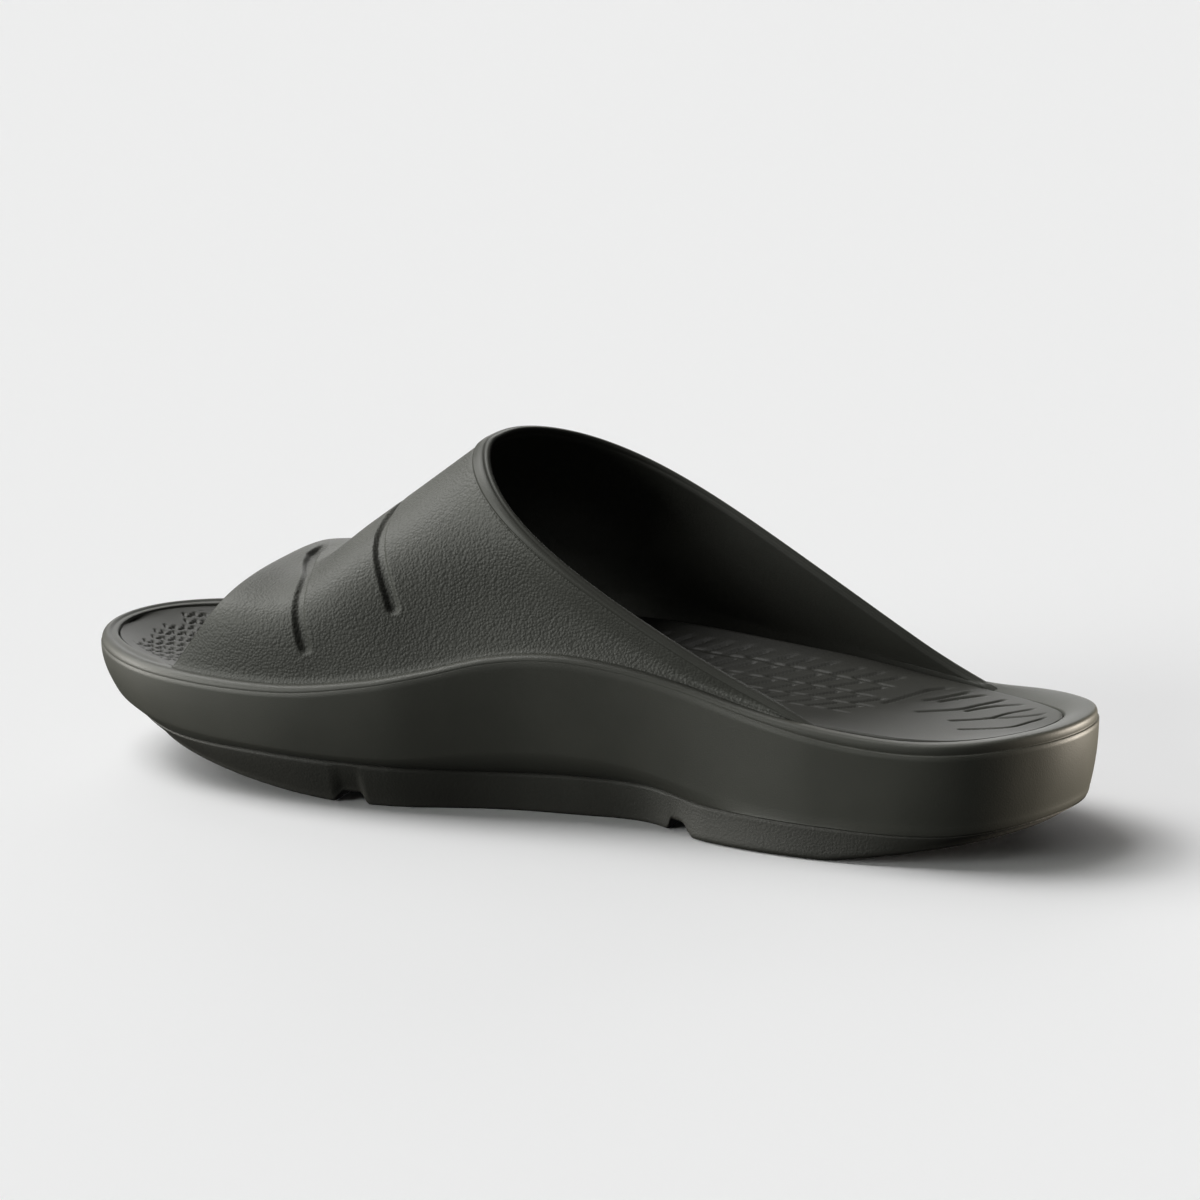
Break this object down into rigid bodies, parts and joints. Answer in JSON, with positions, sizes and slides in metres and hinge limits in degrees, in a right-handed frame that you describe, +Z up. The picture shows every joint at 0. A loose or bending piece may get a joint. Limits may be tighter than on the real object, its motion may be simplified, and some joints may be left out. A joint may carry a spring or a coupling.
{
  "type": "slide sandal",
  "caption": "Moulded foam slide sandal with a wide closed instep strap, a rolled sole rim, a dished footbed and a lugged outsole with flex channels.",
  "frame": {"origin": "on the floor, under the middle of the sandal's bounding box", "axes": "+X along the foot towards the toe, +Y towards the inner (medial) side of the foot, +Z up from the floor"},
  "size_m": [0.285, 0.103, 0.0968],
  "materials": {
    "insole": "matt moulded foam",
    "midsole": "satin moulded foam",
    "outsole": "matt, finely pebbled",
    "upper": "matt, leather-like pebble"
  },
  "bodies": {
    "root": {"insole": "insole", "midsole": "midsole", "outsole": "outsole", "upper": "upper"}
  },
  "joints": []
}
